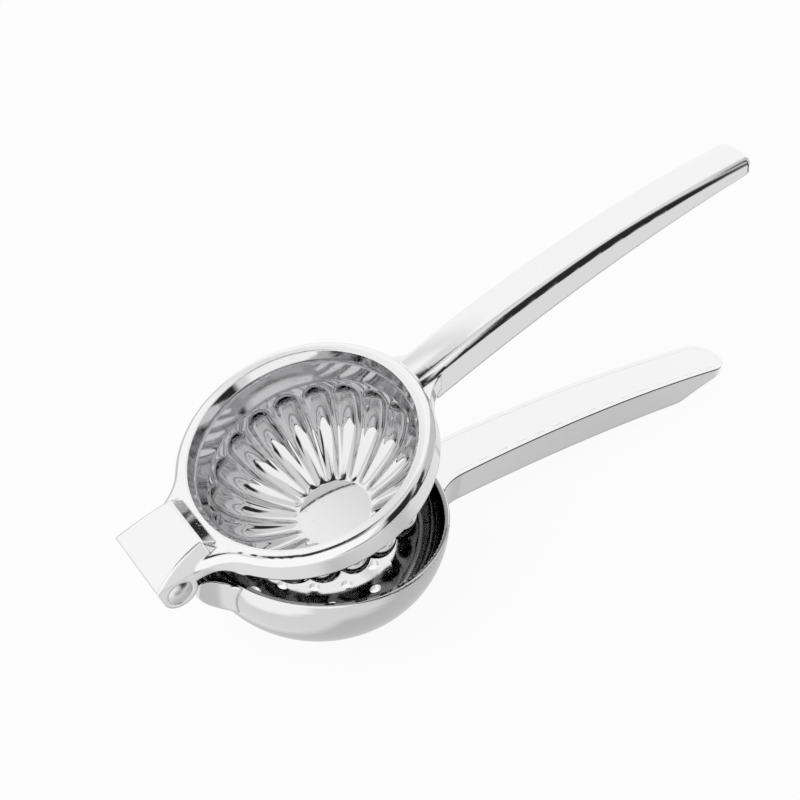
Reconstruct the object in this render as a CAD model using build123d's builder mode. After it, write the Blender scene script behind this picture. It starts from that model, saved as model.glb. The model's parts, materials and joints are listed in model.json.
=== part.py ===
"""Hinged lemon squeezer: a press arm with a fluted cup closes into a strainer bowl on a lower arm.

Every piece is drawn with the squeezer shut, its hinge axis at the origin, X running along the handles
to their tips and Z up. At the end the press arm is swung open, the whole is laid down as it rests on a
table, on its bowl and the heel of the lower handle, and the origin goes to the bottom centre.
"""

from build123d import *
from math import acos, asin, atan2, cos, degrees, hypot, radians, sin
import os

os.makedirs("parts", exist_ok=True)

# ---- driving dimensions, millimetres and degrees ----
reach = 48.0  # hinge axis to the axis of the ring and the cup
cup_offset = 1.7  # the bowl stands this much farther out, so the cup's far side clears it as it swings in
tip_reach = 208.7  # hinge axis to the end of the lower handle
tip_step = 3.4  # the upper handle ends this much short of it
rim_radius = 36.0  # outside of the ring
rim_proud = 0.8  # how much wider the bowl's rim is than the ring
rim_drop = 4.0  # hinge axis down to the bowl's rim
shut_gap = 0.6  # left between the two arms when they are shut
open_angle = 22.0  # how far the press arm stands open as the squeezer lies

# Ring
ring_height = 8.3
ring_shoulder = 2.2  # radius of the rounded outer edge
ring_wall = 3.88  # outside of the cup's edge to the outside of the ring
lip_flare = 0.9  # how much wider the lip's inner edge is than the cup's inside
lip_depth = 3.2  # how far down the cup's edge is seated

# Hinge
barrel_radius = 4.9
barrel_half = 8.3  # half the width of the barrel between the cheeks
cheek_radius = 5.0
cheek_half = 11.7  # half the width over both cheeks
cheek_gap = 0.2  # each side of the barrel
swing_gap = 0.4  # round the barrel and in front of the lug's shoulders
tongue_top = 8.3  # where the tongue's top ends beside the ring
tongue_middle = 7.7
tongue_front = 5.4
tongue_waist = 8.8  # half the tongue's width beside the ring
tongue_run = 11.6  # hinge axis to that end
tongue_slope = 3.0  # how far the slope from there down to the ring runs
tongue_edge = 0.6
neck_side = 12.4  # half the neck's width beside the ring, at a level
neck_side_level = 1.3
arch_start = 9.5  # the neck's underside curves down from here to the ring's foot
arch_end = 15.0
neck_blend = 16.0  # radius where the ring's wall sweeps forward into the cheeks

# Rivet
tube_radius = 2.6
shank_radius = 1.8
head_radius = 3.5
head_dome = 0.9
head_recess = 0.5
running_fit = 0.06
press_fit = 0.01

# Press cup
sheet = 1.0
cup_draft = 0.9  # how much narrower the cup's inside is where the wall starts to curve in
cup_waist_depth = 11.5  # where that is; both depths are from the top of the ring
cup_floor_depth = 33.4
cup_wall_arc = 22.2
flute_count = 20
flute_radius = 5.2
flute_bite = 1.6  # how far a flute bulges out past the plain wall
flute_top_depth = 13.5
flute_phase = 3.0
seat_gap = 0.02

# Strainer bowl
bowl_wall = 1.7
bowl_straight = 3.0  # straight wall below the rim
bowl_wall_arc = 29.0
bowl_blend = 57.0  # angle at which the wall's arc runs into the bottom's
drain_radius = 1.6
drain_rings = ((1, 0.0, 0.0), (6, 9.4, 30.0), (12, 18.0, 15.0))  # how many, on what radius, from what angle

# Lug: its sections, from its shoulders' front face back into the bowl's wall
lug_bite = 0.8  # how far the last section stands behind the bowl's outside at its corners
lug_stations = (  # share of the way back, half widths above and below, top, bottom, lower corners
    (0.0, 11.7, 11.0, -0.3, -5.8, 1.2),
    (0.34, 12.0, 10.6, -1.2, -12.9, 2.4),
    (0.67, 13.9, 11.6, -3.6, -16.6, 3.6),
    (1.0, 19.0, 14.5, -4.6, -18.6, 4.8),
)
web_depth = 5.8  # underside of the web below the axis, where it reaches the shoulders

# Handles
parting_root = -6.1  # heights of the line on which the handles meet: at the bowl, half way, at the tip
parting_mid = -4.6
parting_tip = -10.3
ridge_root = 3.7  # heights of the upper handle's top line at the same places
ridge_mid = 4.2
ridge_tip = -5.1
upper_half = 5.75  # half the upper handle's width at its shoulders
upper_draft = 6.3
upper_shoulder = 2.3
upper_crown = 0.8
upper_blend = 12.0  # radius between its sides and the ring
upper_blend_drop = 2.4  # top of those blends below the ridge
lower_root_half = 7.75  # half the lower handle's width at the bowl
lower_tip_half = 6.95
lower_flare = 2.2  # how much wider it runs out on each side at the bowl
lower_flare_run = 8.0
lower_depth = 10.3
lower_edge = 1.5  # radius along its lower edges
tip_edge = 2.0  # radius round the upper handle's end
heel_back = 22.7  # the heel's centre behind the lower handle's end
heel_drop = 0.8  # how much deeper the heel is than the rest
heel_radius = 12.0
heel_from = -95.0  # the heel's arc about its centre, from the X axis
heel_to = -70.0
tip_face = 1.8  # height of the lower handle's end below its top face
handle_wall = 1.5
plate_thickness = 1.2
root_solid = 6.0  # solid metal between the bowl or ring and the hollow of a handle

# ---- worked out ----
bowl_reach = reach + cup_offset
bowl_radius = rim_radius + rim_proud
upper_root = reach + rim_radius
root_x = bowl_reach + bowl_radius
mid_x = (root_x + tip_reach) / 2
heel_x = tip_reach - heel_back
ring_bottom = shut_gap - rim_drop
ring_top = ring_bottom + ring_height
seat_level = ring_top - lip_depth
waist_level = ring_top - cup_waist_depth
floor_level = ring_top - cup_floor_depth
slot_radius = barrel_radius + swing_gap
slot_half = barrel_half + cheek_gap
shoulder_front = cheek_radius + swing_gap
neck_bottom = shut_gap / 2
seat_radius = rim_radius - ring_wall
cup_seat_radius = seat_radius - seat_gap - sheet
cup_waist_radius = cup_seat_radius - cup_draft
lip_radius = cup_seat_radius + lip_flare
cup_taper = cup_draft / (seat_level - waist_level)
foot_radius = seat_radius - cup_taper * (seat_level - ring_bottom)
side_centre = bowl_radius - bowl_wall_arc  # of the bowl wall's arc, from the bowl's axis
side_level = -rim_drop - bowl_straight
bottom_arc = bowl_wall_arc + side_centre / cos(radians(bowl_blend))
bottom_level = side_level + (bottom_arc - bowl_wall_arc) * sin(radians(bowl_blend))
lug_end = bowl_reach - (bowl_radius**2 - lug_stations[-1][1] ** 2) ** 0.5 + lug_bite
ring_axis = Axis((reach, 0, 0), (0, 0, 1))
bowl_axis = Axis((bowl_reach, 0, 0), (0, 0, 1))
far = 300.0  # longer than anything here


def arc_height(x, root, middle, tip):
    """Height at x of the circular arc through heights at the handles' three stations."""
    ax, bx, cx = root_x, mid_x, tip_reach
    twice = 2 * (ax * (middle - tip) + bx * (tip - root) + cx * (root - middle))
    a, b, c = ax**2 + root**2, bx**2 + middle**2, cx**2 + tip**2
    centre_x = (a * (middle - tip) + b * (tip - root) + c * (root - middle)) / twice
    centre_z = (a * (cx - bx) + b * (ax - cx) + c * (bx - ax)) / twice
    return centre_z + (hypot(ax - centre_x, root - centre_z) ** 2 - (x - centre_x) ** 2) ** 0.5


def parting(x):
    """Height of the line on which the two handles meet."""
    return arc_height(x, parting_root, parting_mid, parting_tip)


def ridge(x):
    """Height of the upper handle's top line."""
    return arc_height(x, ridge_root, ridge_mid, ridge_tip)


heel_level = parting(heel_x) - shut_gap / 2 - lower_depth - heel_drop + heel_radius


def below_parting(offset):
    """A block from far below up to a surface that runs an offset above the parting line."""
    start_x, end_x = reach, tip_reach + rim_radius
    middle_x = (start_x + end_x) / 2
    with BuildPart() as block:
        with BuildSketch(Plane.XZ):
            with BuildLine():
                ThreePointArc(*[(x, parting(x) + offset) for x in (start_x, middle_x, end_x)])
                Polyline(
                    (end_x, parting(end_x) + offset), (end_x, -far), (start_x, -far),
                    (start_x, parting(start_x) + offset),
                )
            make_face()
        extrude(amount=rim_radius, both=True)
    return block.part


def bowl_form(inset, top):
    """The bowl's outside filled up to a level, or with inset its inside."""
    side = bowl_wall_arc - inset
    base = bottom_arc - inset
    blend = radians(bowl_blend)
    lean = (radians(90) + blend) / 2
    side_x = bowl_reach + side_centre
    start = (side_x + side, side_level)
    side_middle = (side_x + side * cos(blend / 2), side_level - side * sin(blend / 2))
    join = (side_x + side * cos(blend), side_level - side * sin(blend))
    base_middle = (bowl_reach + base * cos(lean), bottom_level - base * sin(lean))
    bottom = (bowl_reach, bottom_level - base)
    with BuildPart() as form:
        with BuildSketch(Plane.XZ):
            with BuildLine():
                Polyline(bottom, (bowl_reach, top), (side_x + side, top), start)
                ThreePointArc(start, side_middle, join)
                ThreePointArc(join, base_middle, bottom)
            make_face()
        revolve(axis=bowl_axis)
    return form.part


def cup_form(grow, top):
    """The press cup's inside filled up to a level, or with grow its outside: a fluted, flat-floored dome."""
    arc_x = cup_waist_radius - cup_wall_arc
    arc = cup_wall_arc + grow
    floor = floor_level - grow
    drop = waist_level - floor
    foot = arc_x + (arc**2 - drop**2) ** 0.5
    lean = atan2(drop, foot - arc_x) / 2
    mouth = cup_waist_radius + grow + cup_taper * (top - waist_level)
    run = cup_wall_arc - flute_radius + flute_bite
    flute_half = (flute_radius**2 - (flute_radius - flute_bite) ** 2) ** 0.5
    start = asin((flute_top_depth + flute_half - cup_waist_depth) / run)
    end = asin((waist_level - floor_level - flute_radius + flute_bite) / run)

    def on_run(angle):
        return (arc_x + run * cos(angle), 0, waist_level - run * sin(angle))

    with BuildPart() as flute:
        with BuildLine() as route:
            ThreePointArc(on_run(start), on_run((start + end) / 2), on_run(end))
        with BuildSketch(Plane(origin=route.line @ 0, z_dir=route.line % 0)):
            Circle(flute_radius + grow)
        sweep(path=route.line)
        with Locations(route.line @ 0, route.line @ 1):
            Sphere(flute_radius + grow)
    with BuildPart() as form:
        with BuildSketch(Plane.XZ):
            with BuildLine():
                Polyline((foot, floor), (0, floor), (0, top), (mouth, top), (arc_x + arc, waist_level))
                ThreePointArc(
                    (arc_x + arc, waist_level),
                    (arc_x + arc * cos(lean), waist_level - arc * sin(lean)),
                    (foot, floor),
                )
            make_face()
        revolve(axis=Axis.Z)
        with PolarLocations(0, flute_count, start_angle=flute_phase):
            add(flute.part)
        split(bisect_by=Plane.XY.offset(floor), keep=Keep.TOP)
    return Pos(reach, 0, 0) * form.part


def web_plan(half_width, end_x, blend):
    """Plan of a disc as wide as the ring with an arm running out of it to end_x, their corners blended."""
    with BuildSketch() as plan:
        with Locations((reach, 0)):
            Circle(rim_radius)
        with Locations(((reach + end_x) / 2, 0)):
            Rectangle(abs(reach - end_x), 2 * half_width)
        corners = [
            corner for corner in plan.vertices()
            if abs(hypot(corner.X - reach, corner.Y) - rim_radius) < press_fit
        ]
        fillet(corners, radius=blend)
    return plan.sketch


def upper_form(inset):
    """The upper handle's outside before its underside is cut, or with inset its hollow."""
    half = upper_half - inset
    depth = rim_radius / 2
    foot = half + depth * sin(radians(upper_draft))
    start_x = upper_root + root_solid if inset else upper_root - ring_wall / 2
    end_x = tip_reach - tip_step - inset
    middle_x = (start_x + end_x) / 2
    corner = upper_shoulder - inset / 2
    with BuildPart() as form:
        with BuildLine() as route:
            ThreePointArc(*[(x, 0, ridge(x) - inset) for x in (start_x, middle_x, end_x)])
        start = Plane(origin=route.line @ 0, x_dir=(0, 1, 0), z_dir=route.line % 0)
        with BuildSketch(start) as section:
            with BuildLine():
                ThreePointArc((-half, -upper_crown), (0, 0), (half, -upper_crown))
                Polyline((half, -upper_crown), (foot, -depth), (-foot, -depth), (-half, -upper_crown))
            make_face()
            fillet(section.vertices().group_by(Axis.Y)[-1], radius=corner)
        sweep(path=route.line)
        if not inset:
            end_face = form.faces().sort_by(Axis.X)[-1]
            fillet(end_face.edges().sort_by(Axis.Z)[1:], radius=tip_edge)
    return form.part


def lower_form(inset):
    """The lower handle's outside, or with inset its hollow, its top on the arc of its inner face."""
    start_x = root_x + root_solid if inset else bowl_reach + bowl_radius / 2
    end_x = tip_reach - inset
    nose = lower_tip_half - inset
    slope = (lower_root_half - lower_tip_half) / (tip_reach - lower_tip_half - root_x)
    heel = heel_radius - inset
    heel_start, heel_end = radians(heel_from), radians(heel_to)
    back = (heel_x + heel * cos(heel_start), heel_level + heel * sin(heel_start))
    front = (heel_x + heel * cos(heel_end), heel_level + heel * sin(heel_end))
    top_gap = -shut_gap / 2
    root_z = parting(start_x) + top_gap - lower_depth + inset
    past_x = end_x + tip_face
    tip_z = parting(past_x) + top_gap - tip_face

    def half_at(x):
        return lower_tip_half - inset + slope * (tip_reach - lower_tip_half - x)

    flare_x = root_x + lower_flare_run
    root_half = half_at(root_x) + lower_flare
    with BuildPart() as form:
        with BuildSketch(Plane.XZ):
            with BuildLine():
                ThreePointArc(
                    *[(x, parting(x) + top_gap) for x in (start_x, (start_x + past_x) / 2, past_x)]
                )
                Line((past_x, parting(past_x) + top_gap), (past_x, tip_z))
                TangentArc(front, (past_x, tip_z), tangent=(-sin(heel_end), cos(heel_end)))
                ThreePointArc(back, (heel_x, heel_level - heel), front)
                TangentArc(back, (start_x, root_z), tangent=(sin(heel_start), -cos(heel_start)))
                Line((start_x, root_z), (start_x, parting(start_x) + top_gap))
            make_face()
        extrude(amount=rim_radius, both=True)
        with BuildSketch(Plane.XY.offset(-far / 2)):
            with BuildLine():
                ThreePointArc((end_x - nose, -nose), (end_x, 0), (end_x - nose, nose))
                for side in (1, -1):
                    Line((end_x - nose, side * nose), (flare_x, side * half_at(flare_x)))
                    if inset:
                        Line((flare_x, side * half_at(flare_x)), (start_x, side * half_at(start_x)))
                    else:
                        TangentArc(
                            (flare_x, side * half_at(flare_x)), (root_x, side * root_half),
                            tangent=(-1, side * slope),
                        )
                        Line((root_x, side * root_half), (start_x, side * root_half))
                start_half = half_at(start_x) if inset else root_half
                Line((start_x, start_half), (start_x, -start_half))
            make_face()
        extrude(amount=far, mode=Mode.INTERSECT)
        if not inset:
            sides = form.edges().filter_by(Axis.Y, reverse=True).filter_by(
                lambda edge: edge.center().X > start_x + press_fit
                and edge.center().Z < parting(edge.center().X) + top_gap - tip_face / 2
                and abs((edge % 0.5).Z) < abs((edge % 0.5).X)
            )
            fillet(sides, radius=lower_edge)
    return form.part


def cheek_plane(side):
    """The leaning side face that the tongue's top edge and the neck's side share."""
    front = Vector(-cheek_radius, side * cheek_half, tongue_front)
    waist = Vector(tongue_run, side * tongue_waist, tongue_top)
    foot = Vector(tongue_run, side * neck_side, neck_side_level)
    return Plane(origin=waist, z_dir=(waist - front).cross(foot - waist) * side)


# ---- press arm: ring, tongue with its cheeks, and the upper handle's channel ----
with BuildPart() as tongue:
    with BuildSketch(Plane.XZ):
        with BuildLine():
            ThreePointArc(
                (-cheek_radius, tongue_front), (cheek_radius / 2, tongue_middle), (tongue_run, tongue_top)
            )
            Polyline(
                (tongue_run, tongue_top), (tongue_run + tongue_slope, ring_top - ring_shoulder / 4),
                (tongue_run + tongue_slope, neck_bottom), (cheek_radius, neck_bottom), (cheek_radius, 0),
                (-cheek_radius, 0), (-cheek_radius, tongue_front),
            )
        make_face()
        Circle(cheek_radius)
    extrude(amount=cheek_half, both=True)
    split(bisect_by=cheek_plane(1), keep=Keep.BOTTOM)
    split(bisect_by=cheek_plane(-1), keep=Keep.BOTTOM)
    top_edges = tongue.faces().filter_by(GeomType.CYLINDER).sort_by(Axis.Z)[-1].edges()
    fillet(top_edges.sort_by(Axis.X)[:-1], radius=tongue_edge)

with BuildPart() as handle_root:
    with BuildSketch(Plane.XY.offset(ring_bottom)):
        add(web_plan(upper_half, upper_root + upper_blend, upper_blend))
        with Locations((reach, 0)):
            Circle(rim_radius - ring_wall / 2, mode=Mode.SUBTRACT)
        split(bisect_by=Plane.YZ.offset(reach))
    extrude(amount=ridge(upper_root) - upper_blend_drop - ring_bottom)

upper_hollow = upper_form(handle_wall)
upper_solid = upper_form(0) - below_parting(shut_gap / 2)
with BuildPart() as press_arm:
    with BuildSketch(Plane.XY.offset(ring_bottom)):
        add(web_plan(cheek_half, -cheek_radius, neck_blend))
    extrude(amount=ring_height)
    rim = press_arm.faces().sort_by(Axis.Z)[-1].edges().filter_by(Axis.Y, reverse=True)
    fillet(rim, radius=ring_shoulder)
    with BuildSketch(Plane.XZ):
        with BuildLine():
            Polyline(
                (arch_start, neck_bottom), (-far, neck_bottom), (-far, -far), (arch_end, -far),
                (arch_end, ring_bottom),
            )
            TangentArc((arch_start, neck_bottom), (arch_end, ring_bottom), tangent=(1, 0))
        make_face()
    extrude(amount=far, both=True, mode=Mode.SUBTRACT)
    with BuildSketch(Plane.XZ):
        with BuildLine():
            Polyline(
                (reach, ring_top), (reach + lip_radius, ring_top), (reach + cup_seat_radius, seat_level),
                (reach + seat_radius, seat_level), (reach + foot_radius, ring_bottom), (reach, ring_bottom),
                close=True,
            )
        make_face()
    revolve(axis=ring_axis, mode=Mode.SUBTRACT)
    add(tongue.part)
    add(handle_root.part)
    add(upper_solid)
    with BuildSketch(Plane.XY.offset(ring_bottom)):
        with Locations((bowl_reach, 0)):
            Circle(bowl_radius + shut_gap)
    extrude(amount=-rim_radius, mode=Mode.SUBTRACT)
    add(upper_hollow, mode=Mode.SUBTRACT)
    with BuildSketch(Plane.XZ):
        Circle(slot_radius)
    extrude(amount=slot_half, both=True, mode=Mode.SUBTRACT)
    with BuildSketch(Plane.XZ):
        Circle(tube_radius + press_fit)
    extrude(amount=cheek_half, both=True, mode=Mode.SUBTRACT)
    for side in (1, -1):
        with BuildSketch(Plane.XZ.offset(side * (cheek_half - head_recess))):
            Circle(head_radius + press_fit)
        extrude(amount=side * far, mode=Mode.SUBTRACT)

with BuildPart() as press_handle_plate:
    add(upper_hollow)
    add(below_parting(shut_gap / 2 + plate_thickness), mode=Mode.INTERSECT)
    add(below_parting(shut_gap / 2), mode=Mode.SUBTRACT)

# ---- press cup: sheet pressed into flutes ----
with BuildPart() as press_cup:
    add(cup_form(sheet, seat_level))
    add(cup_form(0, ring_top), mode=Mode.SUBTRACT)

# ---- hinge rivet: a solid half pressed into a tubular half ----
head_seat = cheek_half - head_recess
dome_radius = (head_radius**2 + head_dome**2) / (2 * head_dome)
with BuildPart() as hinge_pin:
    with BuildSketch(Plane.XY):
        with BuildLine():
            Polyline(
                (0, -head_seat - head_recess - head_dome), (0, cheek_half - sheet),
                (shank_radius, cheek_half - sheet), (shank_radius, -head_seat), (head_radius, -head_seat),
                (head_radius, -head_seat - head_recess),
            )
            RadiusArc(
                (head_radius, -head_seat - head_recess), (0, -head_seat - head_recess - head_dome),
                dome_radius,
            )
        make_face()
    revolve(axis=Axis.Y)

with BuildPart() as hinge_pin_cap:
    with BuildSketch(Plane.XY):
        with BuildLine():
            Polyline(
                (0, head_seat + head_recess + head_dome), (0, cheek_half - sheet + press_fit),
                (shank_radius + press_fit, cheek_half - sheet + press_fit),
                (shank_radius + press_fit, -head_seat + press_fit), (tube_radius, -head_seat + press_fit),
                (tube_radius, head_seat), (head_radius, head_seat), (head_radius, head_seat + head_recess),
            )
            RadiusArc(
                (head_radius, head_seat + head_recess), (0, head_seat + head_recess + head_dome), -dome_radius
            )
        make_face()
    revolve(axis=Axis.Y)

# ---- strainer bowl ----
with BuildPart() as strainer_bowl:
    add(bowl_form(0, -rim_drop))
    add(bowl_form(bowl_wall, 0), mode=Mode.SUBTRACT)
    fillet(strainer_bowl.edges().group_by(Axis.Z)[-1], radius=bowl_wall / 3)
    with BuildSketch(Plane.XY):
        for count, radius, start in drain_rings:
            with Locations((bowl_reach, 0)):
                with PolarLocations(radius, count, start_angle=start):
                    Circle(drain_radius)
    extrude(amount=-far, mode=Mode.SUBTRACT)

# ---- hinge lug ----
with BuildPart() as hinge_lug:
    for share, above, below, top, bottom, corner in lug_stations:
        station_x = shoulder_front + share * (lug_end - shoulder_front)
        station = Plane(origin=(station_x, 0, 0), x_dir=(0, 1, 0), z_dir=(1, 0, 0))
        with BuildSketch(station) as section:
            Polygon((-above, top), (-below, bottom), (below, bottom), (above, top), align=None)
            fillet(section.vertices().group_by(Axis.Y)[0], radius=corner)
    loft()
    with BuildSketch(Plane.XZ):
        with BuildLine():
            Polyline(
                (0, neck_bottom - shut_gap), (shoulder_front + neck_bottom, neck_bottom - shut_gap),
                (shoulder_front + neck_bottom, -web_depth), (0, -barrel_radius), (0, neck_bottom - shut_gap),
            )
        make_face()
        Circle(barrel_radius)
    extrude(amount=barrel_half, both=True)
    with BuildSketch(Plane.XY.offset(-rim_drop)):
        with Locations((reach, 0)):
            Circle(rim_radius + shut_gap)
    extrude(amount=far, mode=Mode.SUBTRACT)
    add(bowl_form(0, far), mode=Mode.SUBTRACT)
    with BuildSketch(Plane.XZ):
        Circle(tube_radius + running_fit)
    extrude(amount=far, both=True, mode=Mode.SUBTRACT)

# ---- lower handle ----
lower_hollow = lower_form(handle_wall)
with BuildPart() as bowl_handle:
    add(lower_form(0))
    add(bowl_form(0, far), mode=Mode.SUBTRACT)
    add(lower_hollow, mode=Mode.SUBTRACT)

with BuildPart() as bowl_handle_plate:
    add(lower_hollow)
    add(below_parting(-shut_gap / 2 - plate_thickness), mode=Mode.SUBTRACT)

# ---- swing the press arm open, lay the squeezer down, and move the origin to its bottom centre ----
across = heel_x - bowl_reach
down = bottom_level - heel_level
lie_angle = degrees(atan2(across, down) - acos((bottom_arc - heel_radius) / hypot(across, down)))
lying = Rotation(0, lie_angle, 0)
lifted = lying * Rotation(0, -open_angle, 0)
pieces = {
    "press_arm": (press_arm.part, lifted),
    "press_handle_plate": (press_handle_plate.part, lifted),
    "press_cup": (press_cup.part, lifted),
    "hinge_pin": (hinge_pin.part, lifted),
    "hinge_pin_cap": (hinge_pin_cap.part, lifted),
    "strainer_bowl": (strainer_bowl.part, lying),
    "hinge_lug": (hinge_lug.part, lying),
    "bowl_handle": (bowl_handle.part, lying),
    "bowl_handle_plate": (bowl_handle_plate.part, lying),
}
placed = {name: place * piece for name, (piece, place) in pieces.items()}
boxes = [piece.bounding_box() for piece in placed.values()]
middle_x = (min(box.min.X for box in boxes) + max(box.max.X for box in boxes)) / 2
to_origin = Pos(-middle_x, 0, -min(box.min.Z for box in boxes))
for name, piece in placed.items():
    piece = to_origin * piece
    piece.label = name
    export_step(piece, f"parts/{name}.step")

print("lies at", round(lie_angle, 3), "degrees, hinge axis at", to_origin.position)
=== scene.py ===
"""Finishes and studio for a hinged lemon squeezer: polished steel arms, a fluted press cup and a strainer bowl."""

import json
from math import cos, pi, radians, sin

import bpy
import numpy as np
from mathutils import Euler, Matrix, Vector
from mathutils.geometry import interpolate_bezier


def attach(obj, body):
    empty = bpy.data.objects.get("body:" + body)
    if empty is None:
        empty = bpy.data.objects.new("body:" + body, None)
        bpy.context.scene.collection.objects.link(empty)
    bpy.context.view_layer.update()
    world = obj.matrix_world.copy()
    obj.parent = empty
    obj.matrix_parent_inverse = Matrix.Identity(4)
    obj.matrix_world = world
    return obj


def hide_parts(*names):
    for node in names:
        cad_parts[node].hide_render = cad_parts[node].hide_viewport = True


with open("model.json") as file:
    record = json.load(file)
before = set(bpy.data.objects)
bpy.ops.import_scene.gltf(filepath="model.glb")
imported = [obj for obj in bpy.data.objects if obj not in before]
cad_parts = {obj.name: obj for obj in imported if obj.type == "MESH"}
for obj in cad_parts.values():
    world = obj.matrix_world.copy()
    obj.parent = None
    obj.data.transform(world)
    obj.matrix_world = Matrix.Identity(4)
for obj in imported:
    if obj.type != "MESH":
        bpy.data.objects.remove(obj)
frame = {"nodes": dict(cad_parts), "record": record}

bl_info = {
    "name": "Lemon squeezer finishes",
    "version": (1, 0, 0),
    "blender": (4, 5, 0),
    "location": "3D View > Sidebar > Squeezer",
    "description": "Polished steel finishes and a plain studio for a hinged lemon squeezer",
    "category": "Object",
}

# Metal finishes, in metres. A grain is its scale and its depth.
CAST_GRAIN = (900, 0.00002)
SHEET_GRAIN = (700, 0.000008)
RIVET_GRAIN = (1500, 0.00002)
GRAIN_DETAIL = 2
GRAIN_STRENGTH = 0.2
SMEAR_SCALE = 60
SMEAR_DETAIL = 3
SMEAR_SPREAD = (0.6, 1.5)  # best and worst polish, as shares of the roughness
SCRATCH_STRETCH = (90, 1600, 1600)  # scratches run along the handles
SCRATCH_SHARE = (0.66, 0.74)  # how high in their noise they start, and are full
SCRATCH_DULLNESS = 0.12
EDGE_RADIUS = 0.0008
EDGE_SAMPLES = 8
RIM_RADIUS = 0.0002  # edges of the lower handle's thin rim
# Painted reflection: a dark line painted along the edges of the lower handle's sides, standing in for the dark band a
# polished edge mirrors
EDGE_REFLECTION_WIDTH = 0.0012
EDGE_REFLECTION_SAMPLES = 16
EDGE_REFLECTION_TURN = (0.9995, 0.975)  # cosines of an edge's turn where the painted dark line starts, and is full
EDGE_REFLECTION_TILT = 0.5  # how far a side may face up or down and still carry the line
# Painted shade on the bowl's inside wall, centred on the middle of its mouth
BOWL_MOUTH = (-0.0503, 0, 0.036)
BOWL_SHADE_SPREAD = (0.020, 0.028)  # how far from the bowl's middle the painted shade on its wall starts, and is full

# Studio, in metres
FLOOR_SIZE = 8.0
FLOOR_GLOW = 0.92  # share of plain white in what the camera sees of the floor
PAPER_ROUGHNESS = 0.9
ROOM_GLOW = 0.6  # light of the room on what isn't seen, or mirrored
WHITE_GLOW = 1.0  # the white that is seen and mirrored round the cards
KEY_PLACE = (-0.55, -0.10, 0.95)
KEY_SIZE = 0.7
KEY_POWER = 3.0
SENSOR_WIDTH = 36
CLIP_START = 0.01
CARD_CENTRE = 0.04
# Name, how far off, brightness, shares its soft edges take along and across it, and pairs of directions down its
# length, each an azimuth and an elevation. Where two cards overlap, the nearer one shows.
CARDS = (
    ("floor_glow", 8.0, 0.70, 0.2, 0.2, (((-112, -50), (112, -50)), ((-45, -34), (45, -34)))),
    ("left_softbox", 7.5, 1.36, 0.06, 0.10, (
        ((-192, -46), (-192, 68)), ((-160, -50), (-160, 68)), ((-125, -42), (-125, 68)), ((-86, -34), (-86, 68)),
    )),
    ("far_softbox", 6.5, 1.30, 0.10, 0.08, (((12, -8), (12, 76)), ((56, -8), (56, 76)), ((90, -8), (104, 72)))),
    ("back_softbox", 6.2, 1.32, 0.16, 0.16, (((92, 8), (92, 66)), ((124, 4), (124, 62)), ((156, 4), (156, 58)))),
    ("far_grey", 6.0, 0.75, 0.15, 0.3, (((84, -30), (84, 22)), ((130, -30), (130, 22)))),
    ("side_grey", 5.6, 0.75, 0.15, 0.15, (((-34, -30), (-34, 58)), ((20, -30), (14, 58)))),
    ("horizon_shade", 5.2, 0.50, 0.35, 0.4, (
        ((-116, -46), (-108, -12)), ((-94, -44), (-92, -8)), ((-64, -38), (-66, -6)),
    )),
    ("seam_shade", 4.7, 0.06, 0.25, 0.25, (((-24, -30), (-24, -2)), ((0, -28), (0, 0)), ((22, -26), (22, 2)))),
    ("arch", 4.6, 0.05, 0.14, 0.25, (
        ((-36, -34), (0, -32)), ((-48, -18), (-10, -16)), ((-58, -2), (-16, -4)), ((-48, 12), (-20, 10)),
        ((-48, 30), (-26, 30)), ((-42, 46), (-24, 52)),
    )),
    ("table_edge", 4.2, 0.05, 0.2, 0.35, (
        ((-68, -44), (-68, -38)), ((-50, -43), (-50, -36)), ((-33, -39), (-33, -31)),
    )),
    ("near_flag", 3.8, 0.03, 0.10, 0.22, (
        ((-80, -24), (-46, -22)), ((-82, 8), (-46, 6)), ((-86, 30), (-45, 32)), ((-89, 60), (-33, 67)),
    )),
    ("top_flag", 4.0, 0.04, 0.12, 0.2, (((108, 57), (96, 83)), ((146, 54), (146, 83)), ((188, 56), (192, 83)))),
    ("top_left_flag", 4.0, 0.22, 0.25, 0.25, (((180, 66), (180, 82)), ((236, 68), (236, 82)))),
    ("top_far_flag", 3.9, 0.30, 0.3, 0.3, (((50, 74), (50, 82)), ((112, 72), (112, 82)))),
)

# Press cup, in metres. Heights are from the level of the hinge, with the arm shut.
OPEN_TURN = radians(13.689)  # how far the ring leans up from level, as it lies open
CUP_REACH = 0.048
CUP_EDGE = (0.0319, 0.0048)  # radius and height of its flared edge, inside the ring's lip
CUP_MOUTH = (0.0305, 0.0019)
CUP_WAIST = (0.0302, -0.0066)
CUP_WAIST_LEAN = radians(80)
CUP_WAIST_PULL = 0.0125  # how far the wall's curve keeps each end's lean
CUP_FOOT_LEAN = radians(25)
CUP_FOOT_PULL = 0.012
CUP_SHOULDER = (  # its outside from the flared edge down past its seat under the lip
    (0.03195, 0.0048), (0.03107, 0.00172), (0.0312, 0.00168), (0.032, 0.00168), (0.0319, -0.0002),
)
SHOULDER_STATIONS = 10  # how many of the inside's stations the shoulder takes the place of
EDGE_SHARES = (0, 0.03, 0.35, 0.7, 0.93)  # stations from the edge to the mouth
MOUTH_SHARES = (0.03, 0.1, 0.3, 0.5, 0.7, 0.9)  # stations from the mouth to the waist
FLOOR_SHARES = (0.985, 0.9, 0.6, 0.3)
WALL_STEPS = 84
FLUTE_TOP = 0.0020  # where a flute's round end starts, along the wall below the waist
FLUTE_FADE = 0.0022  # how far above the floor it starts to run out
FLUTE_STEPS = 20
FLUTE_SMOOTHINGS = 2
CUP_CREASE = radians(40)

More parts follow.
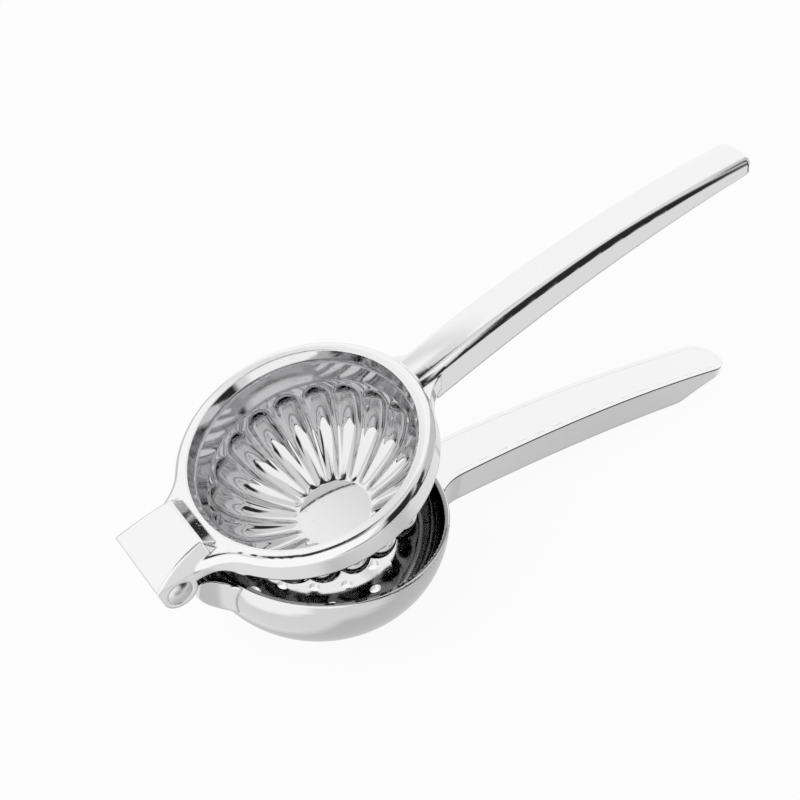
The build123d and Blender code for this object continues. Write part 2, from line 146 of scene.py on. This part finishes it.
# Blend behind the tongue, in metres from the hinge, with the arm shut
BLEND_START = 0.01156
BLEND_TOP = 0.00832
BLEND_LOW = 0.00488
BLEND_LIFT = 0.0001  # least height of its sides above its foot
BLEND_SAG = 0.00005
BLEND_HALF = 0.0107
BLEND_FLAT = 0.00895
BLEND_SIDE_FALL = 1.9  # how steeply its sides go down with the tongue's
BLEND_FOOT_RUN = 0.8  # size of its hidden foot, as shares of its run and width
BLEND_FOOT_HALF = 0.9
BLEND_FOOT_DROP = 0.0006
BLEND_COLUMNS = 48
BLEND_SHARES = (0, 0.05, 0.15, 0.3, 0.45, 0.6, 0.75, 0.88, 1)
BLEND_CREASE = radians(30)


class SteelSettings(bpy.types.PropertyGroup):
    """How the polished metal looks."""

    cast_tint: bpy.props.FloatVectorProperty(
        name="Cast tint", description="Colour of the polished arms and of the lower handle's plate",
        subtype="COLOR", size=3, min=0, max=1, default=(0.69, 0.69, 0.695),
    )
    sheet_tint: bpy.props.FloatVectorProperty(
        name="Sheet tint", description="Colour of the pressed cup, the bowl and the upper handle's plate",
        subtype="COLOR", size=3, min=0, max=1, default=(0.63, 0.63, 0.635),
    )
    # Colour of the painted reflection, a dark line along the lower handle's sides
    edge_reflection_tint: bpy.props.FloatVectorProperty(
        name="Edge reflection tint", description="Colour of the line along the lower handle's sides", subtype="COLOR", size=3,
        min=0, max=1, default=(0.05, 0.05, 0.052),
    )
    # Colour of the painted shade on the bowl's inside wall
    bowl_shade_tint: bpy.props.FloatVectorProperty(
        name="Bowl shade tint", description="Colour of the bowl's inside wall", subtype="COLOR", size=3,
        min=0, max=1, default=(0.26, 0.26, 0.265),
    )
    rivet_tint: bpy.props.FloatVectorProperty(
        name="Rivet tint", description="Colour of the hinge rivet", subtype="COLOR", size=3,
        min=0, max=1, default=(0.62, 0.62, 0.625),
    )
    polish: bpy.props.FloatProperty(
        name="Polish", description="Roughness of the polished metal, between its smears", subtype="FACTOR",
        min=0, max=1, default=0.05,
    )
    rivet_polish: bpy.props.FloatProperty(
        name="Rivet polish", description="Roughness of the satin rivet", subtype="FACTOR", min=0, max=1, default=0.2,
    )


class PressSettings(bpy.types.PropertyGroup):
    """Sizes of the press cup and of the blend behind the tongue."""

    sheet: bpy.props.FloatProperty(
        name="Sheet", description="Thickness of the cup's sheet", subtype="DISTANCE", unit="LENGTH",
        min=0, default=0.001,
    )
    foot_radius: bpy.props.FloatProperty(
        name="Foot radius", description="Radius of the cup's floor", subtype="DISTANCE", unit="LENGTH",
        min=0, default=0.0107,
    )
    floor_level: bpy.props.FloatProperty(
        name="Floor level", description="Height of the cup's floor over the hinge, with the arm shut",
        subtype="DISTANCE", unit="LENGTH", default=-0.0285,
    )
    flutes: bpy.props.IntProperty(
        name="Flutes", description="How many flutes go round the cup", min=3, default=20,
    )
    flute_phase: bpy.props.FloatProperty(
        name="Flute turn", description="How far the flutes are turned round the cup", subtype="ANGLE",
        unit="ROTATION", default=radians(3),
    )
    flute_radius: bpy.props.FloatProperty(
        name="Flute radius", description="Radius of the punch that a flute starts from", subtype="DISTANCE",
        unit="LENGTH", min=0, default=0.0052,
    )
    flute_half: bpy.props.FloatProperty(
        name="Flute half width", description="Half a flute's width where it is widest", subtype="DISTANCE",
        unit="LENGTH", min=0, default=0.00375,
    )
    flute_press: bpy.props.FloatProperty(
        name="Flute press", description="How much deeper the flutes are than a round punch leaves them",
        subtype="FACTOR", min=0, default=1.2,
    )
    blend_run: bpy.props.FloatProperty(
        name="Blend run", description="How far the blend behind the tongue runs", subtype="DISTANCE",
        unit="LENGTH", min=0, default=0.0034,
    )


class StudioSettings(bpy.types.PropertyGroup):
    """Camera and floor."""

    camera_place: bpy.props.FloatVectorProperty(
        name="Camera", description="Where the camera stands", subtype="TRANSLATION", unit="LENGTH", size=3,
        default=(-0.1711, -0.2302, 0.3291),
    )
    camera_turn: bpy.props.FloatVectorProperty(
        name="Camera turn", description="The camera's rotation", subtype="EULER", size=3,
        default=(0.7930, 0.0389, -0.6127),
    )
    lens: bpy.props.FloatProperty(
        name="Lens", description="Focal length in millimetres", subtype="DISTANCE_CAMERA", min=10, default=63.0,
    )
    floor_colour: bpy.props.FloatVectorProperty(
        name="Floor", description="Colour of the floor", subtype="COLOR", size=3, min=0, max=1,
        default=(0.9, 0.9, 0.9),
    )


def link(tree, source, target):
    """Joins two sockets of a node tree."""
    tree.links.new(source, target)


def feed(tree, sockets, values):
    """Fills sockets in order, each from another socket or with a plain value."""
    for socket, value in zip(sockets, values):
        if isinstance(value, bpy.types.NodeSocket):
            link(tree, value, socket)
        else:
            socket.default_value = value


def maths(tree, operation, *values):
    """The result of a sum on numbers."""
    node = tree.nodes.new("ShaderNodeMath")
    node.operation = operation
    feed(tree, node.inputs, values)
    return node.outputs["Value"]


def vector_maths(tree, operation, *values):
    """The result of a sum on places or directions, which is a number for a length or a dot product."""
    node = tree.nodes.new("ShaderNodeVectorMath")
    node.operation = operation
    feed(tree, node.inputs, values)
    return node.outputs["Value" if operation in ("LENGTH", "DOT_PRODUCT") else "Vector"]


def ranged(tree, value, start, end, low=0.0, high=1.0, smooth=False):
    """A number that goes from low to high as the value goes from start to end."""
    node = tree.nodes.new("ShaderNodeMapRange")
    if smooth:
        node.interpolation_type = "SMOOTHSTEP"
    node.inputs["From Min"].default_value = start
    node.inputs["From Max"].default_value = end
    node.inputs["To Min"].default_value = low
    node.inputs["To Max"].default_value = high
    link(tree, value, node.inputs["Value"])
    return node.outputs["Result"]


def noise(tree, place, scale, detail):
    """Soft noise over a surface."""
    node = tree.nodes.new("ShaderNodeTexNoise")
    node.inputs["Scale"].default_value = scale
    node.inputs["Detail"].default_value = detail
    link(tree, place, node.inputs["Vector"])
    return node.outputs["Fac"]


def eased_normal(tree, radius, samples):
    """The way a surface faces, with its sharp edges eased over a radius."""
    node = tree.nodes.new("ShaderNodeBevel")
    node.samples = samples
    node.inputs["Radius"].default_value = radius
    return node.outputs["Normal"]


def retint(tree, share, tint):
    """Gives a metal another colour, by a share that varies over it."""
    shader = tree.nodes["Principled BSDF"]
    mix = tree.nodes.new("ShaderNodeMixRGB")
    mix.inputs["Color1"].default_value = shader.inputs["Base Color"].default_value
    mix.inputs["Color2"].default_value = (*tint, 1)
    link(tree, share, mix.inputs["Fac"])
    link(tree, mix.outputs["Color"], shader.inputs["Base Color"])


def mixed(tree, share, first, second):
    """A shader that goes from the first to the second with the share."""
    mix = tree.nodes.new("ShaderNodeMixShader")
    feed(tree, mix.inputs, (share, first, second))
    return mix.outputs[0]


def polished_metal(name, tint, roughness, grain, easing=0.0):
    """A polished metal with faint grain, uneven polish and fine scratches, and with its edges eased if asked."""
    material = bpy.data.materials.new(name)
    material.use_nodes = True
    tree = material.node_tree
    shader = tree.nodes["Principled BSDF"]
    shader.inputs["Base Color"].default_value = (*tint, 1)
    shader.inputs["Metallic"].default_value = 1.0
    place = tree.nodes.new("ShaderNodeTexCoord").outputs["Object"]
    best, worst = SMEAR_SPREAD
    smears = ranged(tree, noise(tree, place, SMEAR_SCALE, SMEAR_DETAIL), 0, 1, roughness * best, roughness * worst)
    stretch = tree.nodes.new("ShaderNodeMapping")
    stretch.inputs["Scale"].default_value = SCRATCH_STRETCH
    link(tree, place, stretch.inputs["Vector"])
    scratches = ranged(tree, noise(tree, stretch.outputs["Vector"], 1, 1), *SCRATCH_SHARE, 0, SCRATCH_DULLNESS)
    link(tree, maths(tree, "ADD", smears, scratches), shader.inputs["Roughness"])
    scale, depth = grain
    bump = tree.nodes.new("ShaderNodeBump")
    bump.inputs["Strength"].default_value = GRAIN_STRENGTH
    bump.inputs["Distance"].default_value = depth
    link(tree, noise(tree, place, scale, GRAIN_DETAIL), bump.inputs["Height"])
    if easing:
        link(tree, eased_normal(tree, easing, EDGE_SAMPLES), bump.inputs["Normal"])
    link(tree, bump.outputs["Normal"], shader.inputs["Normal"])
    return material


def paint_edge_reflection(material, tint):
    """Paints a dark line along the edges of a handle's sides: a painted reflection of the dark band that a polished
    edge mirrors.
    """
    tree = material.node_tree
    facing = tree.nodes.new("ShaderNodeNewGeometry").outputs["True Normal"]
    turn = vector_maths(tree, "DOT_PRODUCT", eased_normal(tree, EDGE_REFLECTION_WIDTH, EDGE_REFLECTION_SAMPLES), facing)
    split = tree.nodes.new("ShaderNodeSeparateXYZ")
    link(tree, facing, split.inputs[0])
    upright = maths(tree, "COMPARE", split.outputs["Z"], 0, EDGE_REFLECTION_TILT)
    retint(tree, maths(tree, "MULTIPLY", ranged(tree, turn, *EDGE_REFLECTION_TURN), upright), tint)


def paint_bowl_shade(material, centre, tint):
    """Paints shade on a bowl's inside wall, darker away from its middle, and spares its bottom."""
    tree = material.node_tree
    surface = tree.nodes.new("ShaderNodeNewGeometry")
    offset = vector_maths(tree, "SUBTRACT", surface.outputs["Position"], centre)
    facing = vector_maths(tree, "DOT_PRODUCT", surface.outputs["Normal"], offset)
    inward = maths(tree, "LESS_THAN", facing, 0)
    spread = vector_maths(tree, "LENGTH", vector_maths(tree, "MULTIPLY", offset, (1, 1, 0)))
    retint(tree, maths(tree, "MULTIPLY", inward, ranged(tree, spread, *BOWL_SHADE_SPREAD)), tint)


def dress(node, material):
    """Gives a CAD node its finish."""
    piece = frame["nodes"][node]
    piece.data.materials.clear()
    piece.data.materials.append(material)


def smooth_piece(name, place, points, faces, crease, material):
    """A smooth piece from points that are measured from its place."""
    mesh = bpy.data.meshes.new(name)
    mesh.from_pydata([place @ Vector(point) for point in points], [], faces)
    mesh.polygons.foreach_set("use_smooth", [True] * len(mesh.polygons))
    mesh.set_sharp_from_angle(angle=crease)
    mesh.materials.append(material)
    piece = bpy.data.objects.new(name, mesh)
    bpy.context.scene.collection.objects.link(piece)
    return piece


def arm_place():
    """Where the press arm's own measurements start: the hinge, with the arm's lean."""
    hinge = Vector(frame["record"]["behaviour"]["joints"][0]["pos_m"])
    return Matrix.Translation(hinge) @ Matrix.Rotation(-OPEN_TURN, 4, "Y")


class SQUEEZER_OT_arms(bpy.types.Operator):
    """Finish the two arms and the lug"""

    bl_idname = "squeezer.arms"
    bl_label = "Arms"

    def execute(self, context):
        steel = context.scene.squeezer_steel
        metal = polished_metal("cast_polish", steel.cast_tint, steel.polish, CAST_GRAIN, EDGE_RADIUS)
        for node in ("press_arm", "hinge_lug"):
            dress(node, metal)
        lower = polished_metal("lower_polish", steel.cast_tint, steel.polish, CAST_GRAIN, RIM_RADIUS)
        # Painted reflection: a dark line along the lower handle's side edges
        paint_edge_reflection(lower, steel.edge_reflection_tint)
        dress("bowl_handle", lower)
        return {"FINISHED"}


def cup_wall(press):
    """The plain inside wall, waist to foot: radius and height, the way out of it, and how far along it that is."""
    start, end = Vector(CUP_WAIST), Vector((press.foot_radius, press.floor_level))
    first = start - CUP_WAIST_PULL * Vector((cos(CUP_WAIST_LEAN), sin(CUP_WAIST_LEAN)))
    second = end + CUP_FOOT_PULL * Vector((cos(CUP_FOOT_LEAN), sin(CUP_FOOT_LEAN)))
    wall = interpolate_bezier(start, first, second, end, WALL_STEPS + 1)
    wall = [Vector(place[:2]) for place in wall]
    stations, along = [], 0.0
    for before, place, after in zip([wall[0], *wall], wall, [*wall[1:], wall[-1]]):
        way = (after - before).normalized()
        along += (place - before).length
        stations.append((place, Vector((-way.y, way.x)), along))
    return stations


def cup_profile(press):
    """Stations down the inside of the cup, and the flutes' depth across one flute at each."""
    edge, mouth, waist = Vector(CUP_EDGE), Vector(CUP_MOUTH), Vector(CUP_WAIST)
    level = Vector((1, 0))
    stations = [(edge.lerp(mouth, share), level, -1.0) for share in EDGE_SHARES]
    stations += [(mouth.lerp(waist, share), level, -1.0) for share in MOUTH_SHARES]
    stations += cup_wall(press)
    length = stations[-1][2]
    punch, half = press.flute_radius, press.flute_half
    depth = np.zeros((len(stations), FLUTE_STEPS))
    for row, (place, _, along) in enumerate(stations):
        if along < FLUTE_TOP:
            continue
        ridge = place.x * pi / press.flutes
        short = max(half - (along - FLUTE_TOP), 0)
        width = min((half**2 - short**2) ** 0.5, ridge)
        fade = min((length - along) / FLUTE_FADE, 1)
        for column in range(FLUTE_STEPS):
            across = abs(2 * (column + 0.5) / FLUTE_STEPS - 1) * ridge
            if across < width:
                hollow = (punch**2 - across**2) ** 0.5 - (punch**2 - width**2) ** 0.5
                depth[row, column] = hollow * press.flute_press * fade * (2 - fade)
    for _ in range(FLUTE_SMOOTHINGS):
        depth = (np.roll(depth, 1, 1) + 2 * depth + np.roll(depth, -1, 1)) / 4
        depth[1:-1] = (depth[:-2] + 2 * depth[1:-1] + depth[2:]) / 4
    depth[-1] = 0
    return stations, depth


def cup_mesh(press):
    """The press cup's sheet: inside, outside and the rim between them, round its own axis."""
    stations, depth = cup_profile(press)
    around = press.flutes * FLUTE_STEPS
    turns = press.flute_phase + 2 * pi * (np.arange(around) + 0.5 - FLUTE_STEPS / 2) / around
    inside = np.zeros((len(stations), around, 3))
    for row, (place, out, _) in enumerate(stations):
        for column, angle in enumerate(turns):
            grown = place + out * depth[row, column % FLUTE_STEPS]
            inside[row, column] = (grown.x * cos(angle), grown.x * sin(angle), grown.y)
    down = np.gradient(inside, axis=0)
    across = np.roll(inside, -1, 1) - np.roll(inside, 1, 1)
    out = np.cross(down, across)
    out /= np.linalg.norm(out, axis=2, keepdims=True)
    if out[0, 0].dot(inside[0, 0] * (1, 1, 0)) < 0:
        out = -out
    outside = inside + out * press.sheet
    flat = np.stack((np.cos(turns), np.sin(turns)), axis=1)
    shoulder = np.array([
        np.column_stack((flat * radius, np.full(around, height))) for radius, height in CUP_SHOULDER
    ])
    outside = np.concatenate((shoulder, outside[SHOULDER_STATIONS:]))
    outside[-1, :, 2] = press.floor_level - press.sheet
    points, faces = [], []

    def ring(rows):
        start = len(points)
        points.extend(map(tuple, rows))
        return start

    def band(upper, lower):
        for column in range(around):
            after = (column + 1) % around
            faces.append((upper + column, upper + after, lower + after, lower + column))

    def skin(grid, floor, flip):
        first = len(faces)
        rings = [ring(row) for row in grid]
        for share in FLOOR_SHARES:
            rings.append(ring([(x * share, y * share, floor) for x, y, _ in grid[-1]]))
        for upper, lower in zip(rings, rings[1:]):
            band(upper, lower)
        centre = ring([(0, 0, floor)])
        for column in range(around):
            faces.append((rings[-1] + column, rings[-1] + (column + 1) % around, centre))
        if flip:
            faces[first:] = [face[::-1] for face in faces[first:]]
        return rings[0]

    inner = skin(inside, press.floor_level, True)
    outer = skin(outside, press.floor_level - press.sheet, False)
    band(inner, outer)
    return points, faces


class SQUEEZER_OT_cup(bpy.types.Operator):
    """Build the press cup from one smooth fluted sheet"""

    bl_idname = "squeezer.cup"
    bl_label = "Press cup"

    def execute(self, context):
        steel = context.scene.squeezer_steel
        points, faces = cup_mesh(context.scene.squeezer_press)
        place = arm_place() @ Matrix.Translation((CUP_REACH, 0, 0))
        metal = polished_metal("cup_polish", steel.sheet_tint, steel.polish, SHEET_GRAIN)
        cup = smooth_piece("fluted_cup", place, points, faces, CUP_CREASE, metal)
        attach(cup, "press_side")
        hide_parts("press_cup")
        return {"FINISHED"}


def blend_mesh(run):
    """The soft fall from the tongue's back edge to the ring's lip, closed below inside the ring."""
    points, faces = [], []
    rise = BLEND_TOP - BLEND_LOW
    wide = len(BLEND_SHARES)
    columns = [-1 + 2 * step / BLEND_COLUMNS for step in range(BLEND_COLUMNS + 1)]
    for column in columns:
        across = column * BLEND_HALF
        height = min(BLEND_TOP, BLEND_TOP - (abs(across) - BLEND_FLAT) * BLEND_SIDE_FALL)
        height = max(height, BLEND_LOW + BLEND_LIFT)
        part = (height - BLEND_LOW) / rise
        for share in BLEND_SHARES:
            sag = BLEND_SAG * 4 * share * (1 - share) * part
            points.append((BLEND_START + run * part * share, across, height + (BLEND_LOW - height) * share - sag))
    top = len(points)
    for column in columns:
        across = column * BLEND_HALF * BLEND_FOOT_HALF
        for share in BLEND_SHARES:
            points.append((BLEND_START + run * share * BLEND_FOOT_RUN, across, BLEND_LOW - BLEND_FOOT_DROP))
    for column in range(BLEND_COLUMNS):
        for step in range(wide - 1):
            corner = column * wide + step
            faces.append((corner, corner + 1, corner + wide + 1, corner + wide))
            low = corner + top
            faces.append((low, low + wide, low + wide + 1, low + 1))
        for step in (0, wide - 1):
            corner = column * wide + step
            face = (corner, corner + wide, corner + wide + top, corner + top)
            faces.append(face if step == 0 else face[::-1])
    for column in (0, BLEND_COLUMNS):
        for step in range(wide - 1):
            corner = column * wide + step
            face = (corner, corner + top, corner + top + 1, corner + 1)
            faces.append(face if column == 0 else face[::-1])
    return points, faces


class SQUEEZER_OT_blend(bpy.types.Operator):
    """Build the soft blend between the tongue and the ring"""

    bl_idname = "squeezer.blend"
    bl_label = "Tongue blend"

    def execute(self, context):
        points, faces = blend_mesh(context.scene.squeezer_press.blend_run)
        metal = frame["nodes"]["press_arm"].data.materials[0]
        blend = smooth_piece("tongue_blend", arm_place(), points, faces, BLEND_CREASE, metal)
        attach(blend, "press_side")
        return {"FINISHED"}


class SQUEEZER_OT_sheet(bpy.types.Operator):
    """Finish the bowl and the handle plates"""

    bl_idname = "squeezer.sheet"
    bl_label = "Bowl and plates"

    def execute(self, context):
        steel = context.scene.squeezer_steel
        metal = polished_metal("sheet_polish", steel.sheet_tint, steel.polish, SHEET_GRAIN)
        for node in ("press_cup", "press_handle_plate"):
            dress(node, metal)
        dress("bowl_handle_plate", polished_metal("plate_polish", steel.cast_tint, steel.polish, SHEET_GRAIN))
        bowl = polished_metal("bowl_polish", steel.sheet_tint, steel.polish, SHEET_GRAIN)
        # Painted shade on the bowl's inside wall
        paint_bowl_shade(bowl, BOWL_MOUTH, steel.bowl_shade_tint)
        dress("strainer_bowl", bowl)
        return {"FINISHED"}


class SQUEEZER_OT_rivet(bpy.types.Operator):
    """Finish the hinge rivet"""

    bl_idname = "squeezer.rivet"
    bl_label = "Rivet"

    def execute(self, context):
        steel = context.scene.squeezer_steel
        metal = polished_metal("rivet_satin", steel.rivet_tint, steel.rivet_polish, RIVET_GRAIN)
        for node in ("hinge_pin", "hinge_pin_cap"):
            dress(node, metal)
        return {"FINISHED"}


def studio_world():
    """White behind the object and in its reflections, soft grey light on it."""
    world = bpy.data.worlds.new("studio")
    bpy.context.scene.world = world
    world.use_nodes = True
    tree = world.node_tree
    tree.nodes.clear()
    path = tree.nodes.new("ShaderNodeLightPath")
    seen = maths(tree, "MAXIMUM", path.outputs["Is Camera Ray"], path.outputs["Is Glossy Ray"])
    seen = maths(tree, "MAXIMUM", seen, path.outputs["Is Transmission Ray"])
    glows = []
    for strength in (ROOM_GLOW, WHITE_GLOW):
        glow = tree.nodes.new("ShaderNodeBackground")
        glow.inputs["Color"].default_value = (1, 1, 1, 1)
        glow.inputs["Strength"].default_value = strength
        glows.append(glow.outputs[0])
    out = tree.nodes.new("ShaderNodeOutputWorld")
    link(tree, mixed(tree, seen, *glows), out.inputs["Surface"])


def floor_paper(name, colour):
    """Pale paper that shows nearly white to the camera and keeps the object's shadow."""
    material = bpy.data.materials.new(name)
    material.use_nodes = True
    tree = material.node_tree
    paper = tree.nodes["Principled BSDF"]
    paper.inputs["Base Color"].default_value = (*colour, 1)
    paper.inputs["Roughness"].default_value = PAPER_ROUGHNESS
    glow = tree.nodes.new("ShaderNodeEmission")
    path = tree.nodes.new("ShaderNodeLightPath")
    share = maths(tree, "MULTIPLY", path.outputs["Is Camera Ray"], FLOOR_GLOW)
    surface = mixed(tree, share, paper.outputs[0], glow.outputs[0])
    link(tree, surface, tree.nodes["Material Output"].inputs["Surface"])
    return material


def stage_mesh(name, pairs, material):
    """A panel of the studio through pairs of points down its length, with its texture square laid over it."""
    mesh = bpy.data.meshes.new(name)
    last = len(pairs) - 1
    faces = [(2 * step, 2 * step + 2, 2 * step + 3, 2 * step + 1) for step in range(last)]
    mesh.from_pydata([point for pair in pairs for point in pair], [], faces)
    square = mesh.uv_layers.new(name="square")
    for loop, corner in zip(square.data, (corner for face in faces for corner in face)):
        loop.uv = (corner // 2 / last, corner % 2)
    mesh.materials.append(material)
    panel = bpy.data.objects.new(name, mesh)
    bpy.context.scene.collection.objects.link(panel)
    return panel


def card_glow(name, brightness, softness):
    """An even glow that fades out towards the card's edges."""
    material = bpy.data.materials.new(name)
    material.use_nodes = True
    tree = material.node_tree
    tree.nodes.remove(tree.nodes["Principled BSDF"])
    glow = tree.nodes.new("ShaderNodeEmission")
    glow.inputs["Strength"].default_value = brightness
    clear = tree.nodes.new("ShaderNodeBsdfTransparent")
    split = tree.nodes.new("ShaderNodeSeparateXYZ")
    link(tree, tree.nodes.new("ShaderNodeTexCoord").outputs["UV"], split.inputs[0])
    edges = []
    for side, soft in zip("XY", softness):
        rise = maths(tree, "PINGPONG", split.outputs[side], 0.5)
        edges.append(ranged(tree, rise, 0, soft, smooth=True))
    surface = mixed(tree, maths(tree, "MULTIPLY", *edges), clear.outputs[0], glow.outputs[0])
    link(tree, surface, tree.nodes["Material Output"].inputs["Surface"])
    return material


def card(name, distance, brightness, along, across, pairs):
    """A card that only reflections see, its shape given as directions from the object."""
    def place(azimuth, elevation):
        level = distance * cos(radians(elevation))
        height = CARD_CENTRE + distance * sin(radians(elevation))
        return level * cos(radians(azimuth)), level * sin(radians(azimuth)), height

    edges = [(place(*low), place(*high)) for low, high in pairs]
    panel = stage_mesh(name, edges, card_glow(name, brightness, (along, across)))
    panel.visible_camera = False
    panel.visible_diffuse = False
    panel.visible_transmission = False
    panel.visible_shadow = False


class SQUEEZER_OT_studio(bpy.types.Operator):
    """Build the floor, the lights and the camera"""

    bl_idname = "squeezer.studio"
    bl_label = "Studio"

    def execute(self, context):
        studio = context.scene.squeezer_studio
        studio_world()
        half = FLOOR_SIZE / 2
        sides = [((side, half, 0), (side, -half, 0)) for side in (-half, half)]
        floor = stage_mesh("floor", sides, floor_paper("floor_paper", studio.floor_colour))
        floor.visible_glossy = False
        for details in CARDS:
            card(*details)
        lamp = bpy.data.lights.new("key", "AREA")
        lamp.shape = "DISK"
        lamp.size = KEY_SIZE
        lamp.energy = KEY_POWER
        key = bpy.data.objects.new("key", lamp)
        context.scene.collection.objects.link(key)
        key.location = KEY_PLACE
        key.rotation_euler = (-Vector(KEY_PLACE)).to_track_quat("-Z", "Y").to_euler()
        key.visible_glossy = False
        camera = bpy.data.cameras.new("camera")
        camera.lens = studio.lens
        camera.sensor_width = SENSOR_WIDTH
        camera.clip_start = CLIP_START
        holder = bpy.data.objects.new("camera", camera)
        context.scene.collection.objects.link(holder)
        holder.location = studio.camera_place
        holder.rotation_euler = Euler(studio.camera_turn)
        context.scene.camera = holder
        context.scene.view_settings.view_transform = "Standard"
        return {"FINISHED"}


class SQUEEZER_PT_panel(bpy.types.Panel):
    """Lists the steps in the sidebar"""

    bl_label = "Lemon squeezer"
    bl_idname = "SQUEEZER_PT_panel"
    bl_space_type = "VIEW_3D"
    bl_region_type = "UI"
    bl_category = "Squeezer"

    def draw(self, context):
        for step in STEPS:
            self.layout.operator(step.bl_idname)


STEPS = (SQUEEZER_OT_arms, SQUEEZER_OT_blend, SQUEEZER_OT_cup, SQUEEZER_OT_sheet, SQUEEZER_OT_rivet, SQUEEZER_OT_studio)
CLASSES = (SteelSettings, PressSettings, StudioSettings, *STEPS, SQUEEZER_PT_panel)


def register():
    for cls in CLASSES:
        bpy.utils.register_class(cls)
    bpy.types.Scene.squeezer_steel = bpy.props.PointerProperty(type=SteelSettings)
    bpy.types.Scene.squeezer_press = bpy.props.PointerProperty(type=PressSettings)
    bpy.types.Scene.squeezer_studio = bpy.props.PointerProperty(type=StudioSettings)


def unregister():
    del bpy.types.Scene.squeezer_studio
    del bpy.types.Scene.squeezer_press
    del bpy.types.Scene.squeezer_steel
    for cls in reversed(CLASSES):
        bpy.utils.unregister_class(cls)


def main():
    """Builds everything."""
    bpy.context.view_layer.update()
    register()
    for step in STEPS:
        group, name = step.bl_idname.split(".")
        getattr(getattr(bpy.ops, group), name)()


if __name__ == "__main__":
    main()
